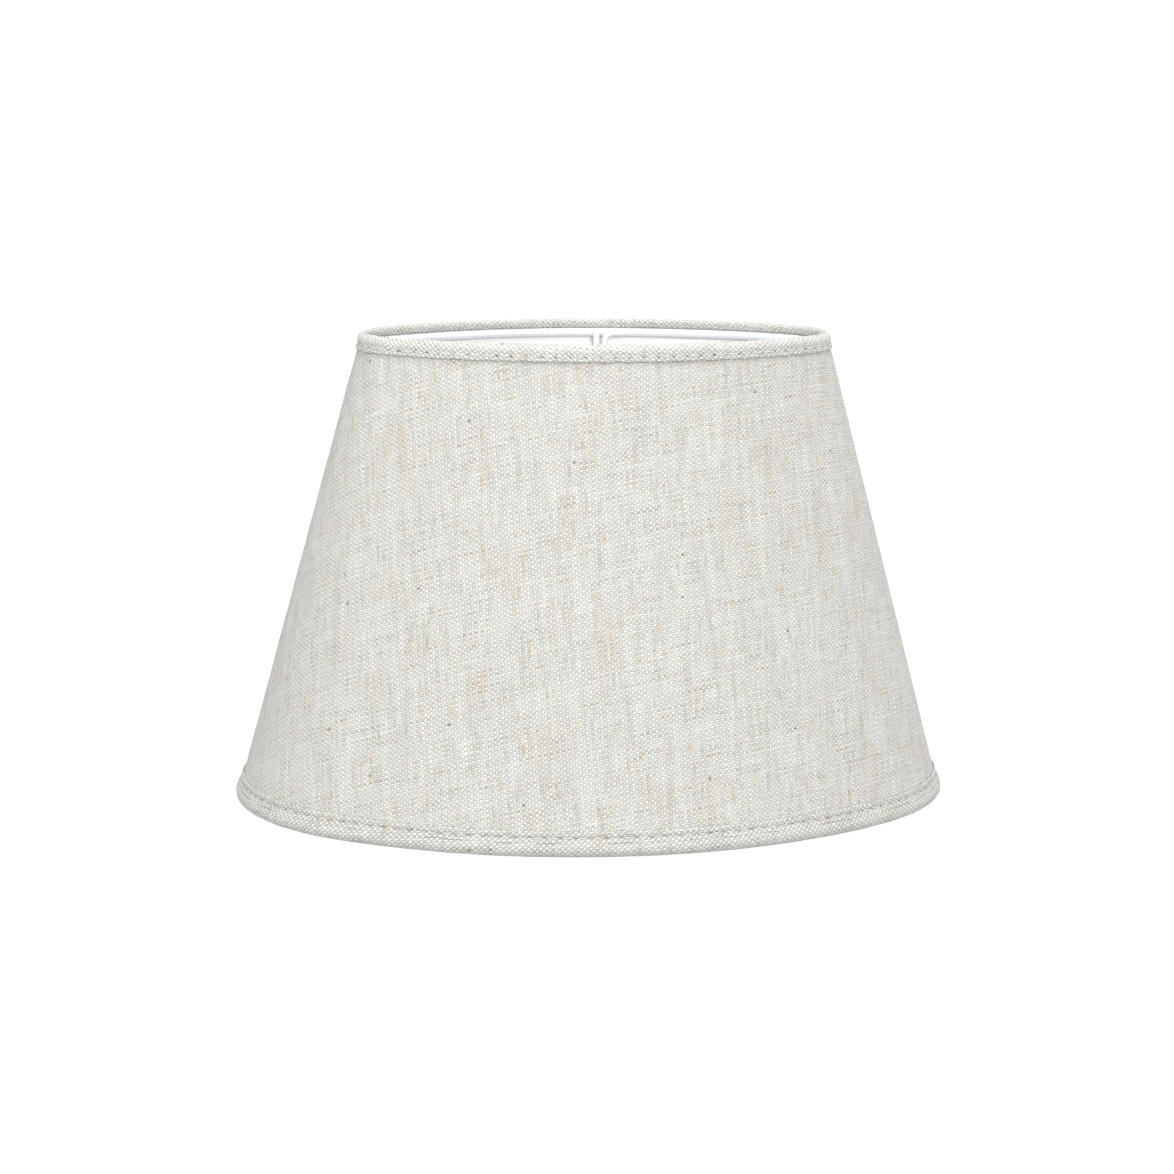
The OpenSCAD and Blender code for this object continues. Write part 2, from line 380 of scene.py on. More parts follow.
def linenMaterial(name, streak=1.0, shade=1.0, relief=1.0, marks=None):
    # plain weave of uneven yarns: U counts along the weft, V along the warp
    b = NodeBench(name)
    cut = b.node("ShaderNodeSeparateXYZ", {"Vector": b.uvMap("threads")})
    cutX, cutY = cut.outputs["X"], cut.outputs["Y"]
    warpSkew, warpPitch = linen["warpSkew"], linen["warpPitch"]
    weftSkew, weftPitch = linen["weftSkew"], linen["weftPitch"]
    warpCount = b.calc("ADD", b.product(cutX, math.cos(warpSkew) / warpPitch),
                       b.product(cutY, math.sin(warpSkew) / warpPitch))
    weftCount = b.calc("SUBTRACT", b.product(cutY, math.cos(weftSkew) / weftPitch),
                       b.product(cutX, math.sin(weftSkew) / weftPitch))
    counts = b.vector(warpCount, weftCount)
    stray = b.noise(counts, 0.13, 2.0, 0.6, colour=True)
    stray = b.vectorCalc("SUBTRACT", stray, (0.5, 0.5, 0.5))
    stray = b.vectorCalc("SCALE", stray, 2 * linen["wander"])
    place = b.vectorCalc("ADD", counts, stray)
    split = b.node("ShaderNodeSeparateXYZ", {"Vector": place})
    u, v = split.outputs["X"], split.outputs["Y"]
    warpNumber = b.calc("ROUND", u)
    weftNumber = b.calc("ROUND", v)
    acrossWarp = b.calc("SUBTRACT", u, warpNumber)
    acrossWeft = b.calc("SUBTRACT", v, weftNumber)

    # each yarn swells and thins along its length
    warpRun = b.vector(b.product(warpNumber, 5.37), b.product(v, 0.055))
    weftRun = b.vector(b.product(u, 0.055), b.calc("MULTIPLY_ADD", weftNumber, 5.37, 91.0))
    warpSwell = b.noise(warpRun, 1.0, 3.0, 0.65)
    weftSwell = b.noise(weftRun, 1.0, 3.0, 0.65)
    warpHalf = b.spread(warpSwell, 0.3, 0.75, *linen["warpHalf"])
    weftHalf = b.spread(weftSwell, 0.3, 0.75, *linen["weftHalf"])

    def yarnHeight(along, number, across, half, sign):
        wave = b.calc("COSINE", b.product(b.calc("ADD", along, number), math.pi))
        bow = b.calc("POWER", b.calc("DIVIDE", b.calc("ABSOLUTE", across), half), 2.0)
        return b.calc("MULTIPLY_ADD", wave, 0.5 * sign, b.product(bow, -0.85))

    warpHeight = yarnHeight(v, warpNumber, acrossWarp, warpHalf, 1)
    weftHeight = yarnHeight(u, weftNumber, acrossWeft, weftHalf, -1)
    warpOnTop = b.calc("GREATER_THAN", warpHeight, weftHeight)
    height = b.calc("MAXIMUM", b.calc("MAXIMUM", warpHeight, weftHeight), linen["lowest"])

    # yarn tones: most pale, some grey or beige, a few rust, each over a length of its yarn
    def yarnTone(run, offset):
        moved = b.vectorCalc("ADD", run, (offset, offset * 0.7, 0))
        tone = b.noise(moved, 1.0, 3.0, 0.7)
        tint = b.noise(b.vectorCalc("ADD", moved, (37.0, 11.0, 0)), 1.0, 3.0, 0.7)
        base = b.ramp(tone, [(0.28, linen["grey"]), (0.43, linen["plain"]), (0.54, linen["plain"]),
                             (0.72, linen["pale"])])
        warm = b.spread(tint, 0.56, 0.70, 0.0, 0.85 * streak)
        rust = b.spread(tint, 0.68, 0.78, 0.0, 0.9 * streak)
        return b.mix(rust, b.mix(warm, base, linen["beige"]), linen["rust"])

    cloth = b.mix(warpOnTop, yarnTone(weftRun, 23.0), yarnTone(warpRun, 61.0))

    # long pale and dark streaks along the warp, and short bright ones along the weft
    streakRun = b.vector(b.product(u, 0.42), b.product(v, 0.022))
    longStreak = b.spread(b.noise(streakRun, 1.0, 3.0, 0.6), 0.3, 0.7,
                          1 - linen["streakDark"] * streak, 1 + linen["streakPale"] * streak)
    crossRun = b.vector(b.calc("MULTIPLY_ADD", u, 0.05, 40.0), b.product(v, 0.7))
    crossStreak = b.spread(b.noise(crossRun, 1.0, 2.0, 0.6), 0.62, 0.78,
                           1.0, 1 + linen["crossPale"] * streak)
    patchRun = b.vector(b.product(u, 0.11), b.calc("MULTIPLY_ADD", v, 0.03, 17.0))
    patches = b.spread(b.noise(patchRun, 1.0, 2.0, 0.5), 0.52, 0.72, 0.0, linen["patches"] * streak)
    cloth = b.mix(patches, cloth, linen["beige"])
    # painted shade: the colour darkens where the cloth lies low between the yarns, and lightens a little on
    # the crowns
    heightShade = b.spread(height, linen["lowest"], 0.5, linen["gap"], 1.06)
    level = b.product(b.product(longStreak, crossStreak), b.product(heightShade, shade))
    # painted shade: a random part of the lowest cells between the yarns is darkened further
    pitCell = b.vector(b.calc("FLOOR", u), b.calc("FLOOR", v))
    pitShade = b.product(b.spread(height, linen["lowest"], -0.35, 1.0, 0.0),
                    b.spread(b.chance(pitCell), 0.35, 1.0, 0.0, linen["pitShadeStrength"]))
    level = b.product(level, b.calc("SUBTRACT", 1.0, pitShade))

    # the crowns stand in a chequer, drawn out along one diagonal by the twist of the yarn; the chequer is
    # painted into the colour as a highlight on the crowns, and raises the bump too
    rising = b.calc("COSINE", b.product(b.calc("SUBTRACT", u, v), math.pi))
    falling = b.calc("COSINE", b.product(b.calc("ADD", u, v), math.pi))
    everyOther = b.calc("COSINE", b.product(v, math.pi))
    crown = b.calc("MULTIPLY_ADD", rising, linen["crownRise"] * relief,
                   b.product(falling, linen["crownFall"] * relief))
    crown = b.calc("MULTIPLY_ADD", everyOther, linen["everyOther"], crown)
    level = b.product(level, b.calc("ADD", crown, 1.0))
    height = b.calc("MULTIPLY_ADD", crown, 1.6, height)

    # tiny dark bits of flax, on a few crossings only
    cell = b.vector(warpNumber, weftNumber)
    speckHere = b.calc("GREATER_THAN", b.chance(cell), 1 - linen["speckShare"])
    speckHere = b.product(speckHere, b.calc("GREATER_THAN", height, -0.35))
    cloth = b.mix(b.product(speckHere, 0.75), cloth, linen["speck"])
    if marks:
        # painted shade in the needle holes beside the roll, along the groove, and in a crease that comes and
        # goes along the roll
        rim = b.node("ShaderNodeSeparateXYZ", {"Vector": b.uvMap("rim")})
        along, across = rim.outputs["X"], rim.outputs["Y"]
        number = b.calc("FLOOR", along)
        drift = b.calc("MULTIPLY_ADD", b.noise(b.vector(b.product(along, 0.7), 3.0)), 0.7, -0.35)
        askew = b.calc("MULTIPLY_ADD", b.chance(b.vector(number, 7.0)), 0.24, -0.12)
        fromMiddle = b.calc("SUBTRACT", b.calc("FRACT", along), 0.5)
        fromHole = b.product(b.calc("SUBTRACT", fromMiddle, b.product(askew, 0.4)), marks["pitch"])
        away = b.calc("ADD", b.calc("SUBTRACT", across, askew), b.product(fromHole, 0.18))
        longWay = b.calc("POWER", b.calc("DIVIDE", fromHole, marks["holeLength"]), 2.0)
        wideWay = b.calc("POWER", b.calc("DIVIDE", away, marks["holeWidth"]), 2.0)
        reach = b.calc("SQRT", b.calc("ADD", longWay, wideWay))
        strength = b.spread(b.chance(b.vector(number, 1.0)), 0.0, 0.8, 0.25, marks["holeShade"])
        hole = b.product(b.spread(reach, 0.55, 1.25, 1.0, 0.0), strength)
        fromGroove = b.calc("ABSOLUTE", b.calc("SUBTRACT", across, drift))
        groove = b.product(b.spread(fromGroove, 0.1, 0.55, 1.0, 0.0), marks["grooveShade"])
        creasePlace = b.calc("ABSOLUTE", b.calc("ADD", b.calc("SUBTRACT", across, marks["crease"]), drift))
        creaseHere = b.spread(b.noise(b.vector(b.product(along, 0.33), 9.0)), 0.45, 0.6,
                              0.0, marks["creaseShade"])
        crease = b.product(b.spread(creasePlace, 0.05, 0.3, 1.0, 0.0), creaseHere)
        holeGrooveCreaseShade = b.calc("MAXIMUM", b.calc("MAXIMUM", hole, groove), crease)
        cloth = b.mix(holeGrooveCreaseShade, cloth, linen["shadow"])
        # painted shade on the band beyond the groove; the roll stays lighter
        level = b.product(level, b.spread(across, -0.4, 1.4, marks["bandShade"], 1.0))
    levelColour = b.node("ShaderNodeCombineColor", {0: level, 1: level, 2: level}).outputs[0]
    b.feed(b.shader.inputs["Base Color"], b.mix(1.0, cloth, levelColour, "MULTIPLY"))
    b.feed(b.shader.inputs["Roughness"], b.spread(height, linen["lowest"], 0.5, 0.97, 0.82))
    b.shader.inputs["Specular IOR Level"].default_value = 0.25
    b.shader.inputs["Sheen Weight"].default_value = 0.18
    b.shader.inputs["Sheen Roughness"].default_value = 0.45
    b.shader.inputs["Sheen Tint"].default_value = (0.93, 0.98, 1.0, 1.0)
    b.bump(height, linen["bump"])
    return b.material


def filmMaterial(name):
    # white satin film: faint rolling marks and fine tooth
    b = NodeBench(name)
    place = b.objectPlace()
    cloud = b.noise(place, 38.0, 3.0, 0.55, flat=False)
    tooth = b.noise(place, 2600.0, 2.0, 0.6, flat=False)
    b.feed(b.shader.inputs["Base Color"],
           b.ramp(cloud, [(0.3, fromScreen(250, 250, 248)), (0.7, fromScreen(253, 253, 251))]))
    b.feed(b.shader.inputs["Roughness"], b.spread(cloud, 0.3, 0.7, 0.42, 0.56))
    b.shader.inputs["Specular IOR Level"].default_value = 0.4
    b.bump(b.calc("MULTIPLY_ADD", cloud, 4.0, tooth), 0.00002)
    return b.material


def coatMaterial(name):
    # baked white powder coat on wire: soft orange peel and a few pinholes
    b = NodeBench(name)
    place = b.objectPlace()
    peel = b.noise(place, 900.0, 2.0, 0.5, flat=False)
    cloud = b.noise(place, 60.0, 2.0, 0.5, flat=False)
    b.feed(b.shader.inputs["Base Color"],
           b.ramp(cloud, [(0.3, fromScreen(212, 215, 221)), (0.7, fromScreen(222, 224, 229))]))
    b.feed(b.shader.inputs["Roughness"], b.spread(peel, 0.3, 0.7, 0.16, 0.3))
    b.shader.inputs["Coat Weight"].default_value = 0.4
    b.shader.inputs["Coat Roughness"].default_value = 0.1
    b.bump(peel, 0.00003)
    return b.material


def tapeMaterial(name):
    # thin paper-backed tape with long fibres
    b = NodeBench(name)
    place = b.objectPlace()
    stretched = b.vectorCalc("MULTIPLY", place, (1.0, 1.0, 0.08))
    fibre = b.noise(stretched, 2200.0, 3.0, 0.6, flat=False)
    b.feed(b.shader.inputs["Base Color"],
           b.ramp(fibre, [(0.3, fromScreen(226, 222, 208)), (0.7, fromScreen(240, 237, 226))]))
    b.feed(b.shader.inputs["Roughness"], b.spread(fibre, 0.3, 0.7, 0.6, 0.8))
    b.bump(fibre, 0.00004)
    return b.material


def threadMaterial(name):
    # twisted sewing thread
    b = NodeBench(name)
    place = b.objectPlace()
    twist = b.noise(place, 3400.0, 1.0, 0.5, flat=False)
    b.feed(b.shader.inputs["Base Color"],
           b.ramp(twist, [(0.3, fromScreen(176, 172, 164)), (0.7, fromScreen(214, 211, 203))]))
    b.feed(b.shader.inputs["Roughness"], b.spread(twist, 0.3, 0.7, 0.6, 0.75))
    b.shader.inputs["Sheen Weight"].default_value = 0.1
    b.bump(twist, 0.00006)
    return b.material


def floorMaterial(name):
    # pale studio floor that stays bright under the shade
    b = NodeBench(name)
    place = b.objectPlace()
    cloud = b.noise(place, 3.0, 2.0, 0.5, flat=False)
    b.feed(b.shader.inputs["Base Color"],
           b.ramp(cloud, [(0.3, (0.44, 0.44, 0.44, 1)), (0.7, (0.46, 0.46, 0.46, 1))]))
    b.shader.inputs["Roughness"].default_value = 0.7
    b.shader.inputs["Specular IOR Level"].default_value = 0.1
    b.shader.inputs["Emission Color"].default_value = (1, 1, 1, 1)
    fromMiddle = b.node("ShaderNodeVectorMath", {0: place}, operation="LENGTH").outputs["Value"]
    b.feed(b.shader.inputs["Emission Strength"], b.spread(fromMiddle, 0.4, 1.6, 0.7, 1.0))
    return b.material


# the cover and the two trims are one linen: their different shade levels are painted light and shade, each
# set to how brightly that piece is lit, and the trims' stronger relief paints a stronger crown highlight as
# well as a stronger bump
coverLinen = linenMaterial("coverLinen", shade=0.585)
topTrimLinen = linenMaterial("topTrimLinen", streak=0.7, shade=0.65, relief=1.8,
                             marks={"pitch": 5.0, "holeLength": 0.62, "holeWidth": 0.27, "holeShade": 0.95,
                                    "grooveShade": 0.16, "crease": 5.0, "creaseShade": 0.0,
                                    "bandShade": 0.83})
bottomTrimLinen = linenMaterial("bottomTrimLinen", streak=0.7, shade=0.553, relief=1.8,
                                marks={"pitch": 5.0, "holeLength": 0.95, "holeWidth": 0.22, "holeShade": 0.6,
                                       "grooveShade": 0.24, "crease": -1.75, "creaseShade": 0.45,
                                       "bandShade": 1.0})
linerFilm = filmMaterial("linerFilm")
whiteCoat = coatMaterial("whiteCoat")
lapTape = tapeMaterial("lapTape")
sewingThread = threadMaterial("sewingThread")
print("materials made")

# the cover: one cloth, cut flat, bonded round the film and lapped at the back

cover = {
    "columnWidth": 1.35 * mm,
    "rowHeight": 1.35 * mm,
    "thick": 0.66 * mm,
    "seamTurn": math.radians(-166),     # the free edge, at the back
    "lapWidth": 12 * mm,
    "lapFlat": 9 * mm,                  # how much of the lap lies on the tape
    "lapRise": 0.95 * mm,
    "edgeWidth": 0.9 * mm,              # the cut edge is softened over this width, by this drop
    "edgeDrop": 0.22 * mm,
    "pressedOver": 2 * mm,              # how soon the trims press everything flat
    "tuck": 8.6 * mm,                   # the inner end, under the lap
    "grain": 0.124,                     # turn of the warp from upright at the middle of the front
    "relief": 0.07 * mm,
    "reliefWaves": 26,
    "innerRows": 9,
    "seed": 11,
}


def flatPlan(turn, slant):
    # where a point of the wall lay in the flat cut, in threads' directions
    fine = np.linspace(arcTurns[0], arcTurns[-1], 6001)
    radius = np.where(3 * np.abs(np.cos(fine)) > 4 * np.abs(np.sin(fine)), sideRadius, endRadius)
    opening = lean / stretch
    step = np.gradient(fine)
    x = np.cumsum(np.cos(opening * fine) * radius * step)
    y = np.cumsum(np.sin(opening * fine) * radius * step)
    x -= np.interp(0, fine, x)
    y -= np.interp(0, fine, y)
    fx = np.interp(turn, fine, x) - slant * np.sin(opening * turn)
    fy = np.interp(turn, fine, y) + slant * np.cos(opening * turn)
    c, s = math.cos(cover["grain"]), math.sin(cover["grain"])
    return c * fx + s * fy, c * fy - s * fx


def buildCover():
    rng = np.random.default_rng(cover["seed"])
    total = perimeterAt(0) + cover["tuck"]
    columns = int(round(total / cover["columnWidth"]))
    lengths = np.linspace(0, total, columns)
    turns = turnsAlong(cover["seamTurn"], lengths, 0)
    slantAll = (edgeZ - footZ) * stretch
    rows = int(round(slantAll / cover["rowHeight"]))
    z = np.linspace(footZ, edgeZ, rows)
    turnGrid, zGrid = np.meshgrid(turns, z, indexing="ij")
    lengthGrid = np.repeat(lengths[:, None], rows, axis=1)
    threadU, threadV = flatPlan(turnGrid, (zGrid - footZ) * stretch)

    # the lap stands on the tape and steps down past it; it is pressed flat under both trims
    down = np.clip((lengthGrid - cover["lapFlat"]) / (cover["lapWidth"] - cover["lapFlat"]), 0, 1)
    rise = cover["lapRise"] * (1 - down * down * (3 - 2 * down))
    pressed = easedBetween(zGrid, lowerThreadZ, upperThreadZ, cover["pressedOver"])
    rise *= pressed
    free = np.clip(lengthGrid / cover["edgeWidth"], 0, 1)
    rise -= cover["edgeDrop"] * (1 - free) ** 2 * pressed

    # slow unevenness of the bonded cloth, drawn out along the warp
    relief = np.zeros_like(rise)
    for _ in range(cover["reliefWaves"]):
        across = rng.uniform(120, 700)
        along = rng.uniform(5, 60)
        relief += rng.uniform(0.3, 1) * np.sin(across * threadU + along * threadV + rng.uniform(0, 6.28))
    relief *= cover["relief"] / 5
    out = rise + relief * pressed
    x, y = ovalPoints(turnGrid, skinOffset(zGrid) + out)
    outer = np.stack([x, y, zGrid], axis=-1).reshape(-1, 3)

    # the inner face is as straight as the film under it, so a few rows carry it
    innerRows = np.linspace(0, rows - 1, cover["innerRows"]).round().astype(int)
    innerZ = zGrid[:, innerRows]
    innerOffset = skinOffset(innerZ) + np.maximum(rise[:, innerRows], 0) - cover["thick"] * stretch
    xi, yi = ovalPoints(turnGrid[:, innerRows], innerOffset)
    inner = np.stack([xi, yi, innerZ], axis=-1).reshape(-1, 3)
    points = np.concatenate([outer, inner])
    start = len(outer)
    count = len(innerRows)
    faces = gridFaces(columns, rows, False, False).tolist()
    faces += gridFaces(columns, count, False, False, start)[:, ::-1].tolist()
    for c in range(columns - 1):
        faces.append([c * rows, start + c * count, start + (c + 1) * count, (c + 1) * rows])
        faces.append([(c + 1) * rows + rows - 1, start + (c + 1) * count + count - 1,
                      start + c * count + count - 1, c * rows + rows - 1])
    for c, flip in ((0, False), (columns - 1, True)):
        for k in range(count - 1):
            low, high = innerRows[k], innerRows[k + 1]
            face = [c * rows + i for i in range(low, high + 1)]
            face += [start + c * count + k + 1, start + c * count + k]
            faces.append(face[::-1] if flip else face)
    uv = np.stack([threadU, threadV], axis=-1)
    pointUv = np.concatenate([uv.reshape(-1, 2), uv[:, innerRows].reshape(-1, 2)])
    mesh = bpy.data.meshes.new("coverCloth")
    mesh.from_pydata(points.tolist(), [], faces)
    corner = np.zeros(len(mesh.loops), np.int32)
    mesh.loops.foreach_get("vertex_index", corner)
    addUvMap(mesh, "threads", pointUv[corner])
    faceOutwards(mesh)
    piece = makeObject("coverCloth", mesh, coverLinen)
    width, length = np.ptp(threadU), np.ptp(threadV)
    upper = perimeterAt(skinOffset(edgeZ)) + cover["tuck"]
    area = (total + upper) / 2 * slantAll
    return piece, (float(width), float(length)), float(area)


coverCloth, coverFlat, coverArea = buildCover()
print("cover made, cut from", [round(x, 4) for x in coverFlat], "area", round(coverArea, 5))

# the film behind it

liner = {
    "columns": 420,
    "rows": 12,
    "lapWidth": 10 * mm,
    "lapRise": 0.35 * mm,
    "seamTurn": math.radians(-164),
    "fadeBelowThread": 4 * mm,          # the lap dies out before the top trim
    "fadeOver": 2 * mm,
}


def buildLiner():
    whole = perimeterAt(0)
    lengths = whole * np.arange(liner["columns"]) / liner["columns"]
    lapColumns = np.array([0.02, 0.12, 0.4, 1.0, 4.0, 9.0, 9.9]) * mm
    lengths = np.sort(np.concatenate([lengths, lapColumns]))
    turns = turnsAlong(liner["seamTurn"], lengths, 0)
    z = np.linspace(linerLow.z, linerHigh.z, liner["rows"])
    turnGrid, zGrid = np.meshgrid(turns, z, indexing="ij")
    lengthGrid = np.repeat(lengths[:, None], liner["rows"], axis=1)
    # the film's own end lies over its start, towards the inside, as one soft step
    rise = np.where((lengthGrid > 0.05 * mm) & (lengthGrid < liner["lapWidth"]), liner["lapRise"], 0.0)
    fade = easedBetween(zGrid, lowerThreadZ, upperThreadZ - liner["fadeBelowThread"], liner["fadeOver"])
    inset = wallLevel + rise * fade
    xo, yo = ovalPoints(turnGrid, skinOffset(zGrid) - coverLevel)
    xi, yi = ovalPoints(turnGrid, skinOffset(zGrid) - inset)
    loop = np.concatenate([np.stack([xo, yo, zGrid], axis=-1),
                           np.stack([xi, yi, zGrid], axis=-1)[:, ::-1]], axis=1)
    points = loop.reshape(-1, 3)
    faces = gridFaces(len(lengths), 2 * liner["rows"], True, True)
    mesh = meshFromGrid("linerSheet", points, faces)
    return makeObject("linerSheet", faceOutwards(mesh), linerFilm)


linerSheet = buildLiner()
print("film made")

# the two trims: strips of the same linen, folded round the edges and sewn down

trimFold = {
    "columnsPerStitch": 6,
    "thick": 0.3 * mm,
    "holeReach": 0.55 * mm,
    "grooveReach": 0.42 * mm,
    "outerFrom": 0.28 * mm,             # the part of the strip seen from outside lies past this offset
    "frontFrom": -1.0 * mm,
    "swell": 0.06 * mm,
    "ripple": 0.035 * mm,
    "rippleLength": 3.2 * mm,
    "lapReach": 5.5 * mm,
    "overlap": 11 * mm,                 # the strip's own end lies over its start
    "overlapLift": 0.28 * mm,
    "hiddenMark": 9.0,                  # the hidden side lies this far from the groove, so it has no marks
}
topTrim = {
    "name": "topTrimCloth",
    "way": -1,                          # from the groove to the fold of the band
    "stitches": 83,
    "threadZ": upperThreadZ,
    "seed": 21,
    "pathPoints": 40,
    "biasTurn": 0.08,
    "holeDepth": 0.22 * mm,
    "edgeWaver": 0.10 * mm,
    # path of the cloth's middle, in mm: level offset from the cover's face, and height from the top
    "datum": cadHigh.z,
    "path": [(-1.30, -3.10), (-1.60, -3.22), (-2.00, -3.12), (-2.28, -2.60), (-2.36, -1.70),
             (-2.12, -0.85), (-1.50, -0.30), (-0.70, -0.15), (0.05, -0.38), (0.58, -0.95), (0.76, -1.70),
             (0.66, -2.40), (0.42, -3.05), (0.33, -3.55), (0.34, -3.95), (0.48, -4.50), (0.53, -5.00),
             (0.50, -5.35), (0.36, -5.56), (0.20, -5.45), (0.17, -5.00), (0.16, -4.40)],
    "lapLift": 0.55 * mm,
}
bottomTrim = {
    "name": "bottomTrimCloth",
    "way": 1,
    "stitches": 134,
    "threadZ": lowerThreadZ,
    "seed": 22,
    "pathPoints": 52,
    "biasTurn": 0.05,
    "holeDepth": 0.18 * mm,
    "edgeWaver": 0.14 * mm,
    "datum": cadLow.z,
    "path": [(-1.42, 6.9), (-1.45, 6.1), (-1.75, 5.35), (-2.6, 4.95), (-3.6, 4.65), (-4.4, 3.9),
             (-4.68, 2.9), (-4.35, 1.75), (-3.5, 0.85), (-2.4, 0.3), (-1.4, 0.17), (-0.35, 0.45),
             (0.55, 1.15), (1.02, 2.1), (1.16, 3.0), (1.05, 3.9), (0.84, 4.55), (0.74, 4.85),
             (0.68, 5.15), (0.52, 5.6), (0.36, 5.95),
             (0.33, 6.3), (0.40, 6.7), (0.52, 7.3), (0.54, 7.9), (0.48, 8.22), (0.34, 8.38), (0.20, 8.25),
             (0.17, 7.8), (0.16, 7.1)],
    "lapLift": 0.6 * mm,
}


def buildTrim(trim, material):
    rng = np.random.default_rng(trim["seed"])
    level = skinOffset(trim["threadZ"])
    whole = perimeterAt(level)
    columns = trim["stitches"] * trimFold["columnsPerStitch"]
    lengths = whole * np.arange(columns) / columns
    turns = turnsAlong(cover["seamTurn"], lengths, level)
    path, along = smoothPath(trim["path"], trim["pathPoints"])
    path *= mm
    along *= mm
    path[:, 1] += trim["datum"]
    tangent = np.gradient(path, axis=0)
    tangent /= np.linalg.norm(tangent, axis=1)[:, None]
    outward = np.stack([tangent[:, 1], -tangent[:, 0]], axis=1)
    middle = path.mean(axis=0)
    if ((path - middle) * outward).sum() < 0:
        outward = -outward

    # holes where the needle went in, halfway between the stitches
    pitch = whole / trim["stitches"]
    fromHole = np.abs((lengths / pitch) % 1 - 0.5) * pitch
    hole = np.exp(-(fromHole / trimFold["holeReach"]) ** 2)
    uneven = 0.65 + 0.35 * rng.random(trim["stitches"])
    hole = hole * np.repeat(uneven, trimFold["columnsPerStitch"])
    isFront = path[:, 0] > trimFold["frontFrom"]
    onOutside = path[:, 0] > trimFold["outerFrom"]
    grooveNear = np.exp(-((path[:, 1] - trim["threadZ"]) / trimFold["grooveReach"]) ** 2) * onOutside

    # the trim rides over the cover's lap, and its own end is laid over its start there
    fromLap = (lengths - 5 * mm + whole / 2) % whole - whole / 2
    lap = np.exp(-(fromLap / trimFold["lapReach"]) ** 2)
    overlap = ((lengths > 0.4 * mm) & (lengths < trimFold["overlap"])).astype(float)
    towardsFold = np.clip(np.abs(path[:, 1] - path[0, 1]) / (2 * mm), 0, 1) * isFront

    edge = smoothRandom(rng, lengths, whole, 9, 40)
    swell = smoothRandom(rng, lengths, whole, 9, 26)
    ripple = smoothRandom(rng, lengths, whole, 12, int(whole / trimFold["rippleLength"]))
    foldZ = trim["datum"] + trim["path"][-4][1] * mm
    foldSide = np.exp(-((path[:, 1] - foldZ) / (1.2 * mm)) ** 2) * (path[:, 0] > 0.05 * mm)

    du = path[None, :, 0] + np.zeros((columns, 1))
    dz = path[None, :, 1] + np.zeros((columns, 1))
    push = (-trim["holeDepth"] * hole[:, None] * grooveNear[None]
            + trimFold["swell"] * swell[:, None] * isFront[None]
            + trimFold["ripple"] * ripple[:, None] * isFront[None])
    du = du + push * outward[None, :, 0]
    dz = dz + push * outward[None, :, 1]
    du += (trim["lapLift"] * lap[:, None] * towardsFold[None]
           + trimFold["overlapLift"] * overlap[:, None] * isFront[None])
    dz += trim["way"] * trim["edgeWaver"] * edge[:, None] * foldSide[None]

    half = trimFold["thick"] / 2
    sides = []
    for way in (1, -1):
        u = du + way * half * outward[None, :, 0]
        z = dz + way * half * outward[None, :, 1]
        x, y = ovalPoints(np.repeat(turns[:, None], len(path), axis=1), u + skinOffset(z))
        sides.append(np.stack([x, y, z], axis=-1))
    loop = np.concatenate([sides[0], sides[1][:, ::-1]], axis=1)
    count = loop.shape[1]
    points = loop.reshape(-1, 3)
    mesh = meshFromGrid(trim["name"], points, gridFaces(columns, count, True, True))

    # thread directions run on round the closing column, so its corners get their own places
    across = np.concatenate([along, along[::-1]])
    c, s = math.cos(trim["biasTurn"]), math.sin(trim["biasTurn"])
    columnIndex = np.arange(columns)
    nextLength = np.concatenate([lengths[1:], [whole]])
    cc, rr = (a.ravel() for a in np.meshgrid(columnIndex, np.arange(count), indexing="ij"))
    r2 = (rr + 1) % count
    cornerX = np.stack([lengths[cc], nextLength[cc], nextLength[cc], lengths[cc]], axis=1)
    cornerY = np.stack([across[rr], across[rr], across[r2], across[r2]], axis=1)
    shiftV = trim["seed"] * 0.037       # so that the two strips aren't cut from the same place
    uv = np.stack([c * cornerX + s * cornerY, c * cornerY - s * cornerX + shiftV], axis=-1)
    addUvMap(mesh, "threads", uv)

    # the second map counts stitches along the rim, and mm from the groove across it
    groovePlace = along[onOutside][np.argmin(np.abs(path[onOutside, 1] - trim["threadZ"]))]
    fromGroove = (across - groovePlace) * trim["way"] / mm
    fromGroove[len(along):] = trimFold["hiddenMark"]
    rimY = np.stack([fromGroove[rr], fromGroove[rr], fromGroove[r2], fromGroove[r2]], axis=1)
    addUvMap(mesh, "rim", np.stack([cornerX / pitch, rimY], axis=-1))
    piece = makeObject(trim["name"], faceOutwards(mesh), material)
    return piece, (float(along[-1]), float(whole + trimFold["overlap"]))


topTrimCloth, topTrimFlat = buildTrim(topTrim, topTrimLinen)
bottomTrimCloth, bottomTrimFlat = buildTrim(bottomTrim, bottomTrimLinen)
print("trims made, cut", topTrimFlat, bottomTrimFlat)

# stitches, laid out by Geometry Nodes along the two grooves

stitching = {"length": 3.7 * mm, "thick": 0.34 * mm, "arch": 0.28 * mm, "waver": 0.10, "seed": 5}


